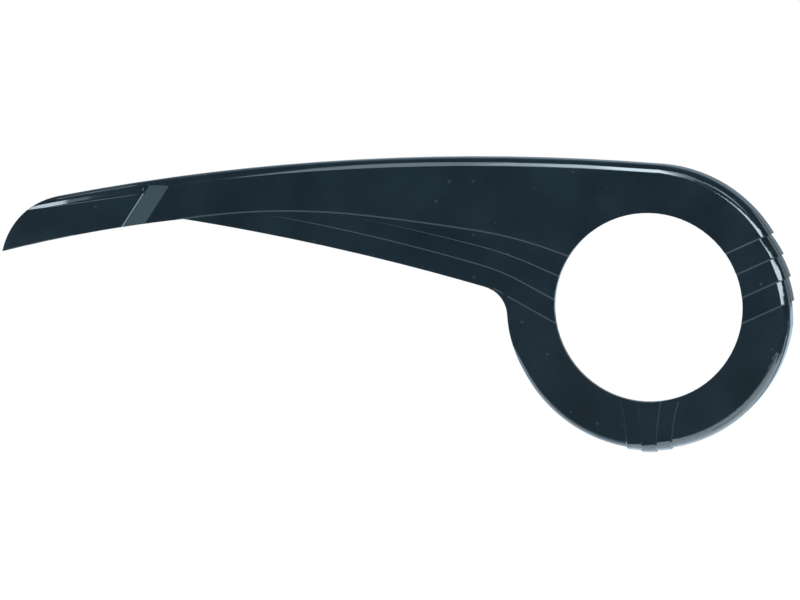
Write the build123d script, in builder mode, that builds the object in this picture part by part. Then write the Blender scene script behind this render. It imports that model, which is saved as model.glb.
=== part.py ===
from build123d import *
import os
from math import cos, degrees, radians, sin, sqrt

os.makedirs("parts", exist_ok=True)

# Sizes in mm. X runs forward, Y towards the frame, Z up, with the crank axis at X = Z = 0.
depth = 26.0  # face to rear rim
wall = 2.8
opening_r = 67.6  # hole for the crank
ring_r = 102.0
edge_r = 6.5  # rounding of the front edge
burr_r = 0.6  # small rounding of the nose and the tip

# Outline of the arm
top_bow_r = 1700.0
join_angle = 85.92  # where the top edge runs into the ring
nose_r = 52.9
nose_angle = 100.9  # where the top edge turns into the nose
tip_angle = 167.95
over_angle = 104.0  # end of the rounded top edge, out past the nose
notch = Vector(-340.5, 59.6)  # lower edge, where the tip ends and the wide blade starts
tip_bow = 2.3
blade_bow = 4.1
heel_angle = 175.1  # where the lower edge meets the ring
heel_r = 22.0

# Overlapping scales
step = 0.8  # height of each step on the face
slope = 1.2  # width of each sloped step
ramp = 15.0  # width of the slope that runs back up to the face
scale_angle = 24.9
scale_pitch = 16.6
scale_first = 12.2  # distance of the first straight step from the crank axis
scale_count = 3
scale_dip = 1.6  # how far the head of each scale sits in from its foot
scale_inset = 0.4  # how far the foot of each scale sits in from the rim
lap = 2.0  # how far each piece runs on under its neighbour
heel_step_angle = -28.6
heel_step_offset = -42.5
heel_step_run = 104.0
fade_angle = -150.0  # where the rounding of the lower ring starts to run out
fade_swing = 400.0  # how far off centre it swings from there

# Curved folds, each from the arm to the opening
fold_a = (Vector(-345.0, 59.2), Vector(-275.0, 66.1), Vector(-205.0, 63.7))
fold_b = (Vector(-224.0, 64.9), Vector(-170.0, 54.0), Vector(-121.0, 42.5))
fold_c = (Vector(-285.0, 65.1), Vector(-194.5, 47.5), Vector(-120.5, 29.0))
bends_a = (Vector(-125.0, 53.9), Vector(-70.0, 40.5))
bends_b = (Vector(-81.1, 28.9),)
bends_c = (Vector(-92.3, 17.8),)
fold_run = 45.0  # straight end of each fold, on into the opening

# Raised clip band under the ring, wide layer then narrow layer
clip_x = 1.2
clip_layers = ((16.5, 130.0, 1.0), (5.7, 190.0, 2.0))  # half width, flare radius, rise

# Raised plate over the tip
tip_step_angle = 56.7
tip_step_offset = 351.7
tip_ramp = 12.5
tip_raise = 0.7
crease_bevel = 0.3
crease = ((98.64, 8.5), (101.62, 5.9))  # angle and inset from the top edge, at the step and at the nose

# Hidden side
lip_wall = 2.2
lip_depth = 6.0
hem_depth = 7.0  # return along the lower edge of the arm
boss_r = 4.5
boss_inset = 10.0  # rim of the ring to the middle of each boss
boss_first_angle = 75.0
boss_count = 3
pilot_r = 1.65
pilot_depth = 14.0
stay_boss_angle = 96.87
web_wall = 2.0
rib_wall = 1.6
rib_height = 5.0
rib_angles = (99.3, 95.4, 93.2, 91.0)
exit_angles = (217.0, 243.0)  # gap for the lower run of the chain
exit_rim = 8.0


def polar(centre, radius, angle):
    return centre + Vector(cos(radians(angle)), sin(radians(angle))) * radius


def across(angle, offset):
    """Plane across a straight step: x to the proud side, y to the front, z along the step."""
    along = Vector(cos(radians(angle)), 0, sin(radians(angle)))
    proud = Vector(-sin(radians(angle)), 0, cos(radians(angle)))
    return Plane(origin=proud * offset, x_dir=proud, z_dir=along)


def on_step(angle, offset, run):
    """Point of the front view on a straight step, a given run along it."""
    return polar(polar(Vector(0, 0), offset, angle + 90), run, angle)


# Derived places
crank = Vector(0, 0)
ceiling = depth - wall
reach = 1.4 * ring_r
bite = wall / 4  # how far the inner features run into the wall
spill = step / 4  # how far a cutter runs on past the face
overrun = 1 + spill / step
edge_run = edge_r * slope / step  # width of a sloped step run on past the edge rounding
scale_last = scale_first - (scale_count + 1) * scale_pitch
boss_circle_r = ring_r - boss_inset
bow_centre = polar(crank, ring_r - top_bow_r, join_angle)
nose_centre = polar(bow_centre, top_bow_r - nose_r, nose_angle)
tip = polar(nose_centre, nose_r, tip_angle)
heel = polar(crank, ring_r, heel_angle)
stay_boss = polar(bow_centre, top_bow_r - boss_inset, stay_boss_angle)
crease_ends = [polar(bow_centre, top_bow_r - inset, angle) for angle, inset in crease]
face = Plane.XZ.offset(depth)

# Front view of the whole guard
with BuildSketch() as outline:
    with BuildLine():
        CenterArc(crank, ring_r, heel_angle, 360 + join_angle - heel_angle)
        CenterArc(bow_centre, top_bow_r, join_angle, nose_angle - join_angle)
        CenterArc(nose_centre, nose_r, nose_angle, tip_angle - nose_angle)
        SagittaArc(tip, notch, tip_bow)
        SagittaArc(notch, heel, blade_bow)
    make_face()
    fillet(outline.vertices().sort_by_distance(heel)[0], heel_r)


def low_side(angle, offset, start):
    """Everything on the low side of a straight step, up to its sloped face."""
    with BuildPart() as cut:
        with BuildSketch(across(angle, offset).offset(start)):
            with BuildLine():
                Polyline(
                    (-slope / 2, -edge_r),
                    (-slope / 2, depth - step),
                    (slope / 2 + edge_run, depth + edge_r),
                    (-2 * reach, depth + edge_r),
                    (-2 * reach, -edge_r),
                    close=True,
                )
            make_face()
        extrude(amount=2 * reach)
    return cut.part


def fold(start, bends):
    """Groove under a curved step: the sloped step face, then a ramp back up to the face."""
    with BuildLine() as line:
        part = ThreePointArc(*start)
        for bend in bends:
            part = TangentArc(part @ 1, bend, tangent=part % 1)
        Line(part @ 1, part @ 1 + (part % 1) * fold_run)
    path = face.from_local_coords(line.wire())
    with BuildPart() as cut:
        with BuildSketch(Plane(origin=path @ 0, x_dir=(0, -1, 0), z_dir=path % 0)):
            with BuildLine():
                Polyline(
                    (step, slope / 2 - 2 * slope),
                    (-step, slope / 2),
                    (spill, slope / 2 + overrun * ramp),
                    (step, slope / 2 + overrun * ramp),
                    close=True,
                )
            make_face()
        sweep(path=path)
    return cut.part


upper_cuts = [
    low_side(scale_angle, scale_first, -opening_r),
    low_side(heel_step_angle, heel_step_offset, -heel_step_run),
    fold(fold_a, bends_a),
    fold(fold_b, bends_b),
    fold(fold_c, bends_c),
]

# Front view with the top edge run out straight past the nose
with BuildSketch() as long_outline:
    with BuildLine():
        top_edge = CenterArc(bow_centre, top_bow_r, join_angle, over_angle - join_angle)
        CenterArc(crank, ring_r, heel_angle, 360 + join_angle - heel_angle)
        Polyline(top_edge @ 1, (2 * tip.X, 0), heel)
    make_face()

# Arm and top of the ring
with BuildPart() as upper:
    with BuildSketch(Plane.XZ):
        add(long_outline.sketch)
        with BuildLine():
            Polyline(
                crank,
                (reach, 0),
                (reach, -reach),
                (-reach, -reach),
                (-reach, -reach / 4),
                close=True,
            )
        make_face(mode=Mode.SUBTRACT)
    extrude(amount=depth)
    front = upper.edges().group_by(Axis.Y)[0].filter_by(GeomType.CIRCLE)
    fillet(front.filter_by(lambda e: abs(e.radius - top_bow_r) < 1), edge_r)
    with BuildSketch(Plane.XZ):
        add(outline.sketch)
    extrude(amount=depth, mode=Mode.INTERSECT)
    add(upper_cuts, mode=Mode.SUBTRACT)
    with BuildSketch(across(tip_step_angle, tip_step_offset)):
        with BuildLine():
            Polyline(
                (lap, depth - step),
                (0, depth - step),
                (-overrun * tip_ramp, depth + spill),
                (lap, depth + edge_r),
                close=True,
            )
        make_face()
    extrude(amount=-4 * reach, both=True, mode=Mode.SUBTRACT)

# Scales on the front of the ring, each tipped down under the one before, the last flush with the lower ring
scales = []
for k in range(scale_count + 1):
    flush = k == scale_count
    toe = 0 if flush else slope / 2
    level = depth - step if flush else depth
    foot_r = ring_r if flush else ring_r - scale_inset
    low = scale_first - (k + 1) * scale_pitch
    plane = across(scale_angle, low)
    hinge = Axis((0, 0, 0), plane.z_dir)
    pivot = plane.origin + plane.z_dir * sqrt(foot_r**2 - low**2) + Vector(0, -level, 0)
    tilt = 0 if flush else -degrees(step / scale_pitch)
    spoke = (Vector(0, -level, 0) - pivot).rotate(Axis.Y, -degrees(scale_dip / scale_pitch))
    tipped = Vector(0, -1, 0).rotate(hinge, tilt)
    with BuildPart() as scale:
        with BuildSketch(Plane(pivot + spoke.rotate(hinge, tilt), z_dir=tipped)):
            Circle(foot_r)
        extrude(amount=-depth - edge_r)
        fillet(scale.edges().filter_by(GeomType.CIRCLE).sort_by(Axis.Y)[0], edge_r)
        with BuildSketch(plane.offset(opening_r / 2)):
            with BuildLine():
                Polyline(
                    (-toe, 0),
                    (-toe, depth - step),
                    (slope / 2 + edge_run, depth + edge_r),
                    (scale_pitch + lap, depth + edge_r),
                    (scale_pitch + lap, 0),
                    close=True,
                )
            make_face()
        extrude(amount=reach, mode=Mode.INTERSECT)
    scales.append(scale.part)

# Rounded edge of the lower ring, full on the right and running out towards the heel
halves = []
for swing, side in ((0, reach), (fade_swing, -reach)):
    with BuildPart() as half_disc:
        with BuildSketch(Plane.XZ):
            with Locations(polar(crank, -swing, fade_angle)):
                Circle(ring_r + swing)
        extrude(amount=depth - step)
        fillet(half_disc.edges().group_by(Axis.Y)[0], edge_r)
        with BuildSketch(Plane.XZ):
            with Locations(Location(polar(crank, side, fade_angle + 90), fade_angle)):
                Rectangle(4 * reach, 2 * reach)
        extrude(amount=depth, mode=Mode.INTERSECT)
    halves.append(half_disc.part)
with BuildPart() as rounding:
    add(halves)

# Lower ring, one step down from the upper body
with BuildPart() as lower:
    with BuildSketch(Plane.XZ):
        add(outline.sketch)
        with BuildLine():
            Polyline(
                on_step(heel_step_angle, heel_step_offset + lap, -reach),
                on_step(heel_step_angle, heel_step_offset + lap, 0),
                on_step(scale_angle, scale_last, 0),
                on_step(scale_angle, scale_last, reach),
                (reach, -reach),
                (-reach, -reach),
                close=True,
            )
        make_face(mode=Mode.INTERSECT)
    extrude(amount=depth - step)
    add(rounding.part, mode=Mode.INTERSECT)

# Clip band, two layers
clips = []
for half, flare_r, rise in clip_layers:
    with BuildPart() as clip:
        with BuildSketch(Plane.XZ):
            Circle(ring_r + rise)
        extrude(amount=depth - step + rise)
        fillet(clip.edges().group_by(Axis.Y)[0], edge_r)
        with BuildSketch(Plane.XZ):
            with Locations((clip_x, -ring_r)):
                Rectangle(half + opening_r, 2 * (ring_r - opening_r) + lap)
            with Locations((clip_x - half - flare_r, -ring_r), (clip_x + half + flare_r, -ring_r)):
                Circle(flare_r, mode=Mode.SUBTRACT)
        extrude(amount=2 * depth, mode=Mode.INTERSECT)
        front = clip.edges().group_by(Axis.Y)[0].filter_by(GeomType.CIRCLE)
        chamfer(front.filter_by(lambda e: abs(e.radius - flare_r) < 1e-3), step)
    clips.append(clip.part)

# Plate over the tip
with BuildPart() as plate:
    with BuildSketch(face.offset(-edge_r - wall)):
        add(outline.sketch)
        with BuildLine():
            Polyline(
                crease_ends[0] * 2 - crease_ends[1],
                crease_ends[1] * 2 - crease_ends[0],
                (2 * tip.X, 0),
                crank,
                close=True,
            )
        make_face(mode=Mode.INTERSECT)
        with BuildLine():
            Polyline(
                on_step(tip_step_angle, tip_step_offset, 0),
                on_step(tip_step_angle, tip_step_offset, -4 * reach),
                on_step(tip_step_angle, tip_step_offset + 2 * reach, -4 * reach),
                on_step(tip_step_angle, tip_step_offset + 2 * reach, 0),
                close=True,
            )
        make_face(mode=Mode.INTERSECT)
    extrude(amount=edge_r + wall + tip_raise)
    front = plate.edges().group_by(Axis.Y)[0].filter_by(GeomType.LINE).sort_by(SortBy.LENGTH)
    chamfer(front[0], step)
    front = plate.edges().group_by(Axis.Y)[0].filter_by(GeomType.LINE).sort_by(SortBy.LENGTH)
    chamfer(front[-1], crease_bevel)
    fillet(plate.edges().group_by(Axis.Y)[0].filter_by(GeomType.CIRCLE), burr_r)

# Hollow behind the face
with BuildPart() as hollow:
    with BuildSketch(Plane.XZ):
        add(outline.sketch)
        offset(amount=-wall)
    extrude(amount=ceiling)
    front = hollow.edges().group_by(Axis.Y)[0].filter_by(GeomType.CIRCLE)
    fillet(front.filter_by(lambda e: abs(e.radius - top_bow_r + wall) < 1), edge_r - wall)

# Front view of the ribs' reach, just into the wall
with BuildSketch() as inside:
    add(outline.sketch)
    offset(amount=bite - wall)

# Whole guard
with BuildPart() as guard:
    add(upper.part)
    add(scales)
    add(lower.part)
    add(clips)
    add(plate.part)
    with BuildSketch(Plane.XZ):
        Circle(opening_r)
    extrude(amount=depth + edge_r, mode=Mode.SUBTRACT)
    add(hollow.part, mode=Mode.SUBTRACT)
    # Open nose and lower side of the arm, leaving a short hem behind the face
    with BuildSketch(Plane.XZ):
        with Locations(bow_centre):
            Circle(top_bow_r - crease[0][1])
        with BuildLine():
            Polyline(
                (heel.X - boss_r, 2 * reach),
                (heel.X - boss_r, -reach),
                (2 * tip.X, -reach),
                (2 * tip.X, 2 * reach),
                close=True,
            )
        make_face(mode=Mode.INTERSECT)
    extrude(amount=depth - hem_depth, mode=Mode.SUBTRACT)
    # Gap for the lower run of the chain
    with BuildSketch(Plane.XZ):
        with BuildLine():
            Polyline(
                polar(crank, boss_circle_r, exit_angles[0]),
                polar(crank, reach, exit_angles[0]),
                polar(crank, reach, exit_angles[1]),
                polar(crank, boss_circle_r, exit_angles[1]),
                close=True,
            )
        make_face()
    extrude(amount=depth - exit_rim, mode=Mode.SUBTRACT)
    # Lip round the opening
    with BuildSketch(face.offset(-lip_depth)):
        Circle(opening_r + lip_wall)
        Circle(opening_r, mode=Mode.SUBTRACT)
    extrude(amount=lip_depth - wall + bite)
    # Low ribs across the arm
    with BuildSketch(Plane.XZ.offset(ceiling - rib_height)):
        for angle in rib_angles:
            with Locations(Location(polar(bow_centre, top_bow_r - ring_r / 2, angle), angle)):
                Rectangle(ring_r, rib_wall)
        add(inside.sketch, mode=Mode.INTERSECT)
    extrude(amount=rib_height + bite / 2)
    # Screw bosses for the bracket and for the rear stay, each webbed to the wall
    with BuildSketch(Plane.XZ):
        with PolarLocations(boss_circle_r, boss_count, boss_first_angle):
            Circle(boss_r)
        with Locations(stay_boss):
            Circle(boss_r)
    extrude(amount=ceiling + bite)
    with BuildSketch(Plane.XZ):
        with PolarLocations((boss_circle_r + ring_r - wall / 2) / 2, boss_count, boss_first_angle):
            Rectangle(boss_inset - wall / 2, web_wall)
        web_centre = (stay_boss + polar(bow_centre, top_bow_r - wall / 2, stay_boss_angle)) / 2
        with Locations(Location(web_centre, stay_boss_angle)):
            Rectangle(boss_inset - wall / 2, web_wall)
    extrude(amount=depth - edge_r)
    with BuildSketch(Plane.XZ):
        with PolarLocations(boss_circle_r, boss_count, boss_first_angle):
            Circle(pilot_r)
        with Locations(stay_boss):
            Circle(pilot_r)
    extrude(amount=pilot_depth, mode=Mode.SUBTRACT)

guard.part.label = "chain_guard"
export_step(guard.part, "parts/chain_guard.step")
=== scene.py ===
"""Looks of a bicycle chain guard: one polished black moulding in a plain white studio."""

import logging
import math
from dataclasses import dataclass, field
from enum import Enum
from typing import Any

import bpy
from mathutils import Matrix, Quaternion, Vector


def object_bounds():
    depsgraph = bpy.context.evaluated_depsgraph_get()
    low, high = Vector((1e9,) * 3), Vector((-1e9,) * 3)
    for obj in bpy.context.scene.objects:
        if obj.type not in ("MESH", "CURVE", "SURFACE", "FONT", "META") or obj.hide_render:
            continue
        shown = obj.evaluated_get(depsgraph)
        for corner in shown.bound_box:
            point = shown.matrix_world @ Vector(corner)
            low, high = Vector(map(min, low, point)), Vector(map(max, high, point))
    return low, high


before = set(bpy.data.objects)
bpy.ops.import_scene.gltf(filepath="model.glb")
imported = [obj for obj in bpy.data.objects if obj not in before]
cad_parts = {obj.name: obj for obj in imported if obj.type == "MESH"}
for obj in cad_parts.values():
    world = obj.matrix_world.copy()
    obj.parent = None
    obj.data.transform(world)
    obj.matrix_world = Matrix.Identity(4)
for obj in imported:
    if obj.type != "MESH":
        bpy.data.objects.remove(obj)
CAD_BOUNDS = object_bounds()

MM = 0.001
IMAGE_WIDTH = 800

# Sockets of the colour mix node, whose names repeat for each type of value.
COLOUR_A = 6
COLOUR_B = 7
COLOUR_OUT = 2

# Places that panels are aimed at, in metres.
ARM_MIDDLE = (-0.1, -0.026, 0.05)
RING_RIM = (0.08, -0.026, 0.05)

# Just short of straight down, where the sides of a panel would have no direction.
DOWN = -89.9

log = logging.getLogger("chain_guard")


class PanelRole(Enum):
    """What a studio panel is for."""

    LAMP = "lights the guard"
    MIRRORED = "shows in the gloss alone"


def linear(code: str) -> tuple[float, float, float, float]:
    """Turn an sRGB hex colour into linear values.

    Args:
        code: Colour as six hex digits after a hash sign.

    Returns:
        Linear red, green and blue, with an alpha of 1.
    """
    channels = [int(code[i : i + 2], 16) / 255 for i in (1, 3, 5)]
    red, green, blue = (
        c / 12.92 if c <= 0.04045 else ((c + 0.055) / 1.055) ** 2.4 for c in channels
    )
    return red, green, blue, 1.0


def add_node(
    tree: bpy.types.NodeTree,
    kind: str,
    settings: dict[str | int, Any] | None = None,
    links: dict[str | int, bpy.types.NodeSocket] | None = None,
) -> bpy.types.Node:
    """Add one shader node, set it and link it.

    Args:
        tree: Node tree that takes the node.
        kind: Blender's name for the type of node.
        settings: Input sockets by name or number, or node properties, and their values.
        links: Input sockets by name or number, and the outputs that feed them.

    Returns:
        The new node.
    """
    node = tree.nodes.new(kind)
    for key, value in (settings or {}).items():
        if isinstance(key, int) or key in node.inputs:
            node.inputs[key].default_value = value
        else:
            setattr(node, key, value)
    for key, source in (links or {}).items():
        tree.links.new(source, node.inputs[key])
    return node


def direction(azimuth: float, elevation: float) -> Vector:
    """Give the way from the guard to a place round it.

    Args:
        azimuth: Degrees to the right of straight in front.
        elevation: Degrees above the horizon.

    Returns:
        A unit vector in the frame of the part.
    """
    a, e = math.radians(azimuth), math.radians(elevation)
    return Vector((math.sin(a) * math.cos(e), -math.cos(a) * math.cos(e), math.sin(e)))


@dataclass(frozen=True)
class PolishedBlackPlastic:
    """Black ABS, injection-moulded in a polished tool.

    The polished tool gives the eye a deep black with sharp reflections that waver a little where
    the wall cooled unevenly. The black is slightly mottled, handling leaves faint dull patches, and
    dust shows as pale specks.
    """

    name: str = "ABS, injection-moulded in a polished tool"
    deep_colour: str = "#141d24"
    pale_colour: str = "#26363f"
    dust_colour: str = "#3e4e58"
    ior: float = 1.53
    roughness: float = 0.07
    dull_roughness: float = 0.12
    dust_roughness: float = 0.2
    wave_mm: float = 55.0
    wave_height_mm: float = 0.03
    wave_detail: float = 1.0
    patch_mm: float = 38.0
    patch_detail: float = 4.0
    # Levels of the patch pattern between which the polish goes from bright to dull.
    patch_start: float = 0.45
    patch_full: float = 0.75
    speck_spacing_mm: float = 9.0
    # Real specks are about 0.3 mm across: drawn coarser and soft, so that they show in the image.
    speck_mm: float = 3.4
    speck_share: float = 0.5

    def build(self) -> bpy.types.Material:
        """Make the material.

        Returns:
            The finished material.
        """
        material = bpy.data.materials.new(self.name)
        material.use_nodes = True
        tree = material.node_tree
        tree.nodes.clear()
        place = add_node(tree, "ShaderNodeTexCoord").outputs["Object"]
        specks = self.specks(tree, place)
        patches = add_node(
            tree,
            "ShaderNodeTexNoise",
            {"Scale": 1 / (self.patch_mm * MM), "Detail": self.patch_detail},
            {"Vector": place},
        )
        polish = add_node(
            tree,
            "ShaderNodeMapRange",
            {
                "From Min": self.patch_start,
                "From Max": self.patch_full,
                "To Min": self.roughness,
                "To Max": self.dull_roughness,
            },
            {"Value": patches.outputs["Fac"]},
        )
        dusty = add_node(
            tree,
            "ShaderNodeMix",
            {"B": self.dust_roughness},
            {"Factor": specks, "A": polish.outputs["Result"]},
        )
        plastic = add_node(
            tree,
            "ShaderNodeMix",
            {
                "data_type": "RGBA",
                COLOUR_A: linear(self.deep_colour),
                COLOUR_B: linear(self.pale_colour),
            },
            {"Factor": patches.outputs["Fac"]},
        )
        colour = add_node(
            tree,
            "ShaderNodeMix",
            {"data_type": "RGBA", COLOUR_B: linear(self.dust_colour)},
            {"Factor": specks, COLOUR_A: plastic.outputs[COLOUR_OUT]},
        )
        waves = add_node(
            tree,
            "ShaderNodeTexNoise",
            {"Scale": 1 / (self.wave_mm * MM), "Detail": self.wave_detail},
            {"Vector": place},
        )
        relief = add_node(
            tree,
            "ShaderNodeBump",
            {"Distance": self.wave_height_mm * MM},
            {"Height": waves.outputs["Fac"]},
        )
        surface = add_node(
            tree,
            "ShaderNodeBsdfPrincipled",
            {"IOR": self.ior},
            {
                "Base Color": colour.outputs[COLOUR_OUT],
                "Roughness": dusty.outputs[0],
                "Normal": relief.outputs["Normal"],
            },
        )
        add_node(tree, "ShaderNodeOutputMaterial", links={"Surface": surface.outputs["BSDF"]})
        return material

    def specks(
        self, tree: bpy.types.NodeTree, place: bpy.types.NodeSocket
    ) -> bpy.types.NodeSocket:
        """Scatter soft dust specks of uneven size.

        Args:
            tree: Node tree of the material.
            place: Output with the position on the part, in metres.

        Returns:
            Output that runs from 0 beside a speck up to 1 in its middle.
        """
        cells = add_node(
            tree,
            "ShaderNodeTexVoronoi",
            {"Scale": 1 / (self.speck_spacing_mm * MM)},
            {"Vector": place},
        )
        chance = add_node(
            tree, "ShaderNodeSeparateColor", links={"Color": cells.outputs["Color"]}
        )
        radius = self.speck_mm / 2 / self.speck_spacing_mm
        reach = add_node(
            tree,
            "ShaderNodeMapRange",
            {"From Min": 1 - self.speck_share, "From Max": 1.0, "To Min": 0.0, "To Max": radius},
            {"Value": chance.outputs["Red"]},
        )
        inside = add_node(
            tree,
            "ShaderNodeMapRange",
            {"From Max": 0.0},
            {"Value": cells.outputs["Distance"], "From Min": reach.outputs["Result"]},
        )
        return inside.outputs["Result"]


@dataclass
class GuardShell:
    """The moulded guard, shown as the solid from model.glb."""

    node: str = "chain_guard"
    slot: str = "guard_shell"
    crisp_angle: float = 18.0
    finish: PolishedBlackPlastic = field(default_factory=PolishedBlackPlastic)

    def dress(self) -> bpy.types.Object:
        """Give the moulding its finish.

        Returns:
            The dressed node.
        """
        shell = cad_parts[self.node]
        shell.data.materials.clear()
        shell.data.materials.append(self.finish.build())
        shell.modifiers.new("crisp edges", "EDGE_SPLIT").split_angle = math.radians(self.crisp_angle)
        shell.modifiers.new("even shading", "WEIGHTED_NORMAL")
        log.info("%s dressed in %s", self.node, self.finish.name)
        return shell


@dataclass(frozen=True)
class Panel:
    """A soft studio panel that faces one place. Lengths are in metres."""

    name: str
    azimuth: float
    elevation: float
    width: float
    height: float
    brightness: float
    distance: float = 1.6
    aim: tuple[float, float, float] = ARM_MIDDLE
    roll: float = 0.0
    role: PanelRole = PanelRole.MIRRORED
    colour: str = "#e0f3ff"

    @classmethod
    def lying(
        cls,
        name: str,
        across: tuple[float, float],
        along: tuple[float, float],
        brightness: float,
        drop: float = 0.35,
    ) -> "Panel":
        """Lay a panel flat below the guard, facing up.

        Args:
            name: Name of the panel.
            across: Its left and right edges, along X.
            along: Its front and back edges, along Y.
            brightness: How bright it looks, where 1 is white.
            drop: How far it lies below the crank axis.

        Returns:
            The panel.
        """
        left, right = across
        front, back = along
        middle = ((left + right) / 2, (front + back) / 2, 0.0)
        return cls(name, 0, DOWN, right - left, back - front, brightness, drop, middle)

    def build(self) -> bpy.types.Object:
        """Hang the panel.

        Returns:
            The lamp.
        """
        data = bpy.data.lights.new(self.name, "AREA")
        data.shape = "RECTANGLE"
        data.size, data.size_y = self.width, self.height
        data.color = linear(self.colour)[:3]
        data.energy = self.brightness * math.pi * self.width * self.height
        lamp = bpy.data.objects.new(self.name, data)
        way = direction(self.azimuth, self.elevation)
        lamp.location = Vector(self.aim) + way * self.distance
        lamp.rotation_mode = "QUATERNION"
        turn = Quaternion((0.0, 0.0, 1.0), math.radians(self.roll))
        lamp.rotation_quaternion = way.to_track_quat("Z", "Y") @ turn
        lamp.visible_camera = False
        lamp.visible_diffuse = self.role is PanelRole.LAMP
        bpy.context.scene.collection.objects.link(lamp)
        log.info("%s hung", self.name)
        return lamp


@dataclass
class Studio:
    """White sweep behind and below, a dim room in front, and soft panels."""

    floor_drop: float = 0.25
    floor_half: float = 6.0
    white: str = "#ffffff"
    cool_white: str = "#cce9ff"
    floor_colour: str = "#e8e8e8"
    room_level: float = 0.1
    room_light: float = 0.4
    # How far a ray points backwards where the sweep starts to show, and where it shows in full.
    sweep_start: float = 0.1
    sweep_full: float = 0.7
    sweep_level: float = 0.4
    # In the gloss, the floor glows white under the guard and dim in front of it.
    sheet_front: float = 0.26
    sheet_fade: float = 0.06
    sheet_level: float = 1.0
    shade_level: float = 0.22
    # The floor keeps the guard's shadow close by and is plain white further off.
    shadow_near: float = 0.3
    shadow_far: float = 0.8
    shadow_white: float = 0.5
    # The overhead panels light the whole face and draw the pale strip along the top edge.
    overhead: tuple[Panel, ...] = (
        Panel("overhead panel", -9.25, 35, 0.753, 1.3, 3.8, role=PanelRole.LAMP),
        Panel("overhead end panel", 10.5, 42.5, 0.365, 0.828, 3.8, role=PanelRole.LAMP),
        Panel("overhead bright panel", -4.4, 35, 0.367, 1.0, 3.8),
        Panel("overhead core panel", -3.0, 35, 0.252, 1.0, 4.0),
        Panel("overhead hot spot", -1.6, 35, 0.145, 1.0, 8.0),
    )
    # The side panels draw the bright strip on the scales, and the gloss on the tip and its slope.
    sides: tuple[Panel, ...] = (
        Panel("right strip", 23.6, 9.7, 1.59, 0.31, 16.0, aim=RING_RIM, roll=17.0),
        Panel("right strip end", 24, 38, 0.4, 0.5, 5.5, aim=RING_RIM),
        Panel("rear right panel", 112, 22, 0.9, 0.8, 1.6, 1.2, (0.08, -0.026, 0.03)),
        Panel("tip panel", -21.9, 20.6, 0.031, 0.135, 14.0, 0.192, (-0.442, -0.022, 0.0668), 17.7),
        Panel("tip panel end", -21.9, 20.6, 0.0166, 0.11, 2.2, 0.192, (-0.417, -0.0289, 0.0745), 17.7),
        Panel(
            "ramp strip",
            azimuth=-21,
            elevation=0,
            width=0.17,
            height=0.5,
            brightness=1.6,
            distance=2.4,
            aim=(-0.375, -0.026, 0.065),
            role=PanelRole.LAMP,
            colour="#c8f0ff",
        ),
        Panel("left panel", -88, 66, 0.06, 0.07, 3.0, 0.25, (-0.405, -0.026, 0.066)),
    )
    # The low panels draw the pale rim under the ring and the bright edge of the tip's plate. The dim
    # line panel draws the lines of the folds and the scales.
    low: tuple[Panel, ...] = (
        Panel.lying("low right panel", (-0.08, 0.68), (-0.135, 0.25), 4.2),
        Panel.lying("low edge panel", (0.68, 1.2), (0.0, 0.25), 4.2),
        Panel.lying("low front panel", (-0.08, 0.62), (-0.85, -0.2), 4.2),
        Panel.lying("low far panel", (-0.08, 0.5), (-1.4, -0.85), 1.3),
        Panel.lying("low mid panel", (-0.08, 0.13), (-0.2, -0.135), 4.2),
        Panel.lying("low side panel", (0.26, 0.75), (-0.2, -0.135), 4.2),
        Panel.lying("low line panel", (-0.45, 0.27), (-0.2, -0.125), 0.5),
        Panel.lying("low back panel", (-0.9, -0.08), (-0.09, 0.3), 2.2),
    )

    def build(self) -> None:
        """Set up the floor, the surround and the panels."""
        self.surround()
        self.floor()
        for panel in self.overhead + self.sides + self.low:
            panel.build()

    def mirrored(self, tree: bpy.types.NodeTree) -> bpy.types.NodeSocket:
        """Find the rays that reach the studio by way of the guard.

        Args:
            tree: Node tree of the floor or the surround.

        Returns:
            Output that is 1 for glossy and transmission rays.
        """
        path = add_node(tree, "ShaderNodeLightPath").outputs
        either = add_node(
            tree,
            "ShaderNodeMath",
            {"operation": "MAXIMUM"},
            {0: path["Is Glossy Ray"], 1: path["Is Transmission Ray"]},
        )
        return either.outputs["Value"]

    def whitened(
        self,
        tree: bpy.types.NodeTree,
        seen: bpy.types.NodeSocket | float,
        in_gloss: bpy.types.NodeSocket | float,
    ) -> bpy.types.NodeSocket:
        """Add up how white a place looks to each kind of ray.

        Args:
            tree: Node tree of the floor or the surround.
            seen: How white it looks to the camera.
            in_gloss: How white it looks in the guard.

        Returns:
            Output with the white of the ray at hand.
        """
        total: bpy.types.NodeSocket | float = 0.0
        camera = add_node(tree, "ShaderNodeLightPath").outputs["Is Camera Ray"]
        for rays, white in ((camera, seen), (self.mirrored(tree), in_gloss)):
            inputs = {0: rays, 1: white, 2: total}
            fixed = {key: value for key, value in inputs.items() if isinstance(value, float)}
            total = add_node(
                tree,
                "ShaderNodeMath",
                {"operation": "MULTIPLY_ADD", **fixed},
                {key: value for key, value in inputs.items() if key not in fixed},
            ).outputs["Value"]
        return total

    def tint(self, tree: bpy.types.NodeTree) -> bpy.types.NodeSocket:
        """Keep the studio white to the camera and cool in the gloss.

        Args:
            tree: Node tree of the floor or the surround.

        Returns:
            Output with the colour for the ray at hand.
        """
        mix = add_node(
            tree,
            "ShaderNodeMix",
            {
                "data_type": "RGBA",
                COLOUR_A: linear(self.white),
                COLOUR_B: linear(self.cool_white),
            },
            {"Factor": self.mirrored(tree)},
        )
        return mix.outputs[COLOUR_OUT]

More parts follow.
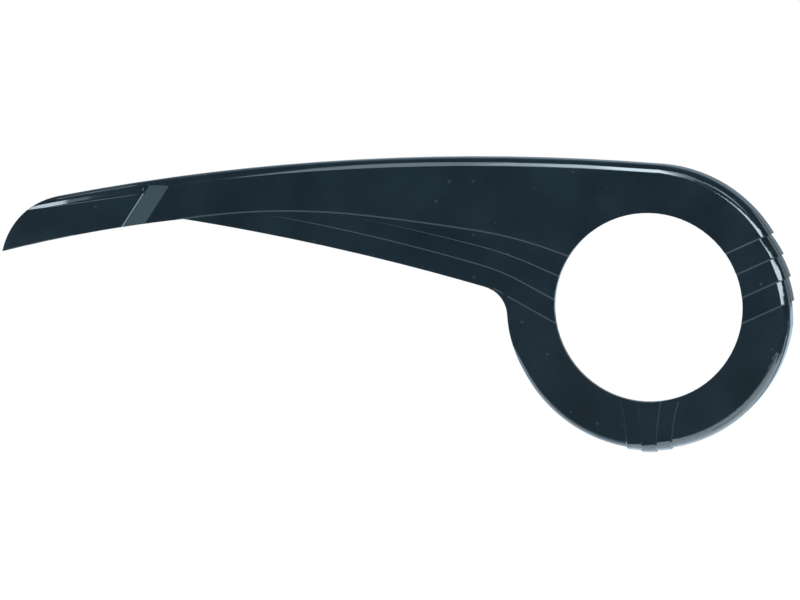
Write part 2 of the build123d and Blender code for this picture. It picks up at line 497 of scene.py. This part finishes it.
    def surround(self) -> None:
        """Light the space round the guard: a white sweep behind, a dim room in front."""
        world = bpy.data.worlds.new("Studio surround")
        bpy.context.scene.world = world
        world.use_nodes = True
        tree = world.node_tree
        tree.nodes.clear()
        way = add_node(
            tree,
            "ShaderNodeSeparateXYZ",
            links={"Vector": add_node(tree, "ShaderNodeTexCoord").outputs["Generated"]},
        )
        behind = add_node(
            tree,
            "ShaderNodeMapRange",
            {
                "From Min": self.sweep_start,
                "From Max": self.sweep_full,
                "To Min": 0.0,
                "To Max": self.sweep_level,
            },
            {"Value": way.outputs["Y"]},
        )
        room = add_node(
            tree,
            "ShaderNodeMath",
            {"operation": "MAXIMUM", 1: self.room_level},
            {0: behind.outputs["Result"]},
        )
        level = add_node(
            tree,
            "ShaderNodeMath",
            {"operation": "MULTIPLY_ADD", 1: self.room_light},
            {
                0: add_node(tree, "ShaderNodeLightPath").outputs["Is Diffuse Ray"],
                2: self.whitened(tree, 1.0, room.outputs["Value"]),
            },
        )
        light = add_node(
            tree,
            "ShaderNodeBackground",
            links={"Color": self.tint(tree), "Strength": level.outputs["Value"]},
        )
        add_node(tree, "ShaderNodeOutputWorld", links={"Surface": light.outputs["Background"]})
        log.info("surround lit")

    def floor(self) -> bpy.types.Object:
        """Lay the pale floor, which glows white under the guard in the gloss.

        Returns:
            The floor.
        """
        mesh = bpy.data.meshes.new("floor")
        half, level = self.floor_half, CAD_BOUNDS[0].z - self.floor_drop
        corners = [(-half, -half), (half, -half), (half, half), (-half, half)]
        mesh.from_pydata([(x, y, level) for x, y in corners], [], [(0, 1, 2, 3)])
        floor = bpy.data.objects.new("floor", mesh)
        bpy.context.scene.collection.objects.link(floor)
        mesh.materials.append(self.board())
        log.info("floor laid")
        return floor

    def board(self) -> bpy.types.Material:
        """Make the floor's painted board, whose matt paint shows the eye an even pale grey.

        Returns:
            The finished material.
        """
        material = bpy.data.materials.new("Painted board, rolled matt")
        material.use_nodes = True
        tree = material.node_tree
        tree.nodes.clear()
        paint = add_node(tree, "ShaderNodeBsdfDiffuse", {"Color": linear(self.floor_colour)})
        place = add_node(tree, "ShaderNodeTexCoord").outputs["Object"]
        away = add_node(tree, "ShaderNodeVectorMath", {"operation": "LENGTH"}, {0: place})
        fade = add_node(
            tree,
            "ShaderNodeMapRange",
            {
                "From Min": self.shadow_near,
                "From Max": self.shadow_far,
                "To Min": self.shadow_white,
                "To Max": 1.0,
            },
            {"Value": away.outputs["Value"]},
        )
        axes = add_node(tree, "ShaderNodeSeparateXYZ", links={"Vector": place})
        sheet = add_node(
            tree,
            "ShaderNodeMapRange",
            {
                "From Min": -self.sheet_front,
                "From Max": -self.sheet_front + self.sheet_fade,
                "To Min": self.shade_level,
                "To Max": self.sheet_level,
            },
            {"Value": axes.outputs["Y"]},
        )
        glow = add_node(
            tree,
            "ShaderNodeEmission",
            links={
                "Color": self.tint(tree),
                "Strength": self.whitened(tree, 1.0, sheet.outputs["Result"]),
            },
        )
        mixed = add_node(
            tree,
            "ShaderNodeMixShader",
            links={
                "Fac": self.whitened(tree, fade.outputs["Result"], 1.0),
                1: paint.outputs["BSDF"],
                2: glow.outputs["Emission"],
            },
        )
        add_node(tree, "ShaderNodeOutputMaterial", links={"Surface": mixed.outputs["Shader"]})
        return material


@dataclass(frozen=True)
class PhotoCamera:
    """Long lens in front of the guard, a little to its right and above it."""

    place: tuple[float, float, float] = (0.39037, -2.99117, 0.23538)
    azimuth: float = 10.886
    elevation: float = 4.4015
    focal_px: float = 4201.7
    sensor_mm: float = 36.0

    def build(self) -> bpy.types.Object:
        """Set up the camera.

        Returns:
            The camera, set as the scene's own.
        """
        data = bpy.data.cameras.new("photo camera")
        data.sensor_width = self.sensor_mm
        data.lens = self.focal_px * self.sensor_mm / IMAGE_WIDTH
        camera = bpy.data.objects.new("photo camera", data)
        camera.location = self.place
        camera.rotation_mode = "QUATERNION"
        look = -direction(self.azimuth, self.elevation)
        camera.rotation_quaternion = look.to_track_quat("-Z", "Y")
        bpy.context.scene.collection.objects.link(camera)
        bpy.context.scene.camera = camera
        log.info("camera set")
        return camera


def main() -> None:
    """Dress the guard and set up the studio and the camera."""
    logging.basicConfig(level=logging.INFO, format="%(name)s: %(message)s")
    bpy.context.scene.view_settings.view_transform = "Standard"
    GuardShell().dress()
    Studio().build()
    PhotoCamera().build()


if __name__ == "__main__":
    main()
